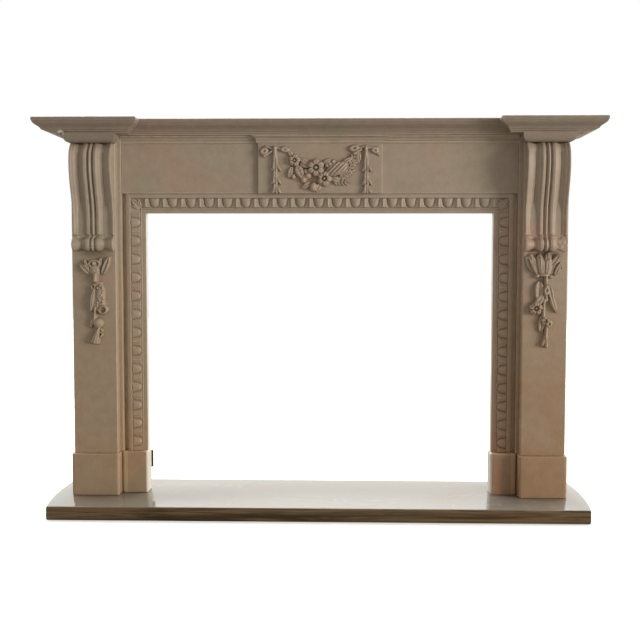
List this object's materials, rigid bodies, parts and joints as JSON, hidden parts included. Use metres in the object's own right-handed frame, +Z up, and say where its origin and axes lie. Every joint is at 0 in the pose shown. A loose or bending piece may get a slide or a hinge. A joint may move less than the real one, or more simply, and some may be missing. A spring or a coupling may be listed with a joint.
{
  "type": "carved stone fireplace mantel",
  "caption": "Carved stone fireplace surround with a breakfront shelf, reeded scroll corbels, floral drops, an egg-and-dart frame, a swag tablet and a bowed marble hearth.",
  "frame": {"origin": "middle of the hearth's underside, halfway between its front edge and the wall", "axes": "+Z up, +Y towards the wall behind, +X to the right as seen from the room"},
  "size_m": [1.6, 0.349, 1.1176],
  "materials": {
    "carved_stone": "honed cream stone, warm brown patina, patchy",
    "hearth_marble": "honed white marble with fine grey veins, brown banded front edge",
    "dark_iron": "dull dark iron"
  },
  "bodies": {
    "root": {"hearth": "hearth_marble", "plinth_outer_left": "carved_stone", "plinth_inner_left": "carved_stone", "plinth_outer_right": "carved_stone", "plinth_inner_right": "carved_stone", "jamb_left": "carved_stone", "jamb_right": "carved_stone", "frame_left": "carved_stone", "frame_right": "carved_stone", "frame_header": "carved_stone", "frieze": "carved_stone", "shelf": "carved_stone", "cramp": "dark_iron"}
  },
  "joints": []
}
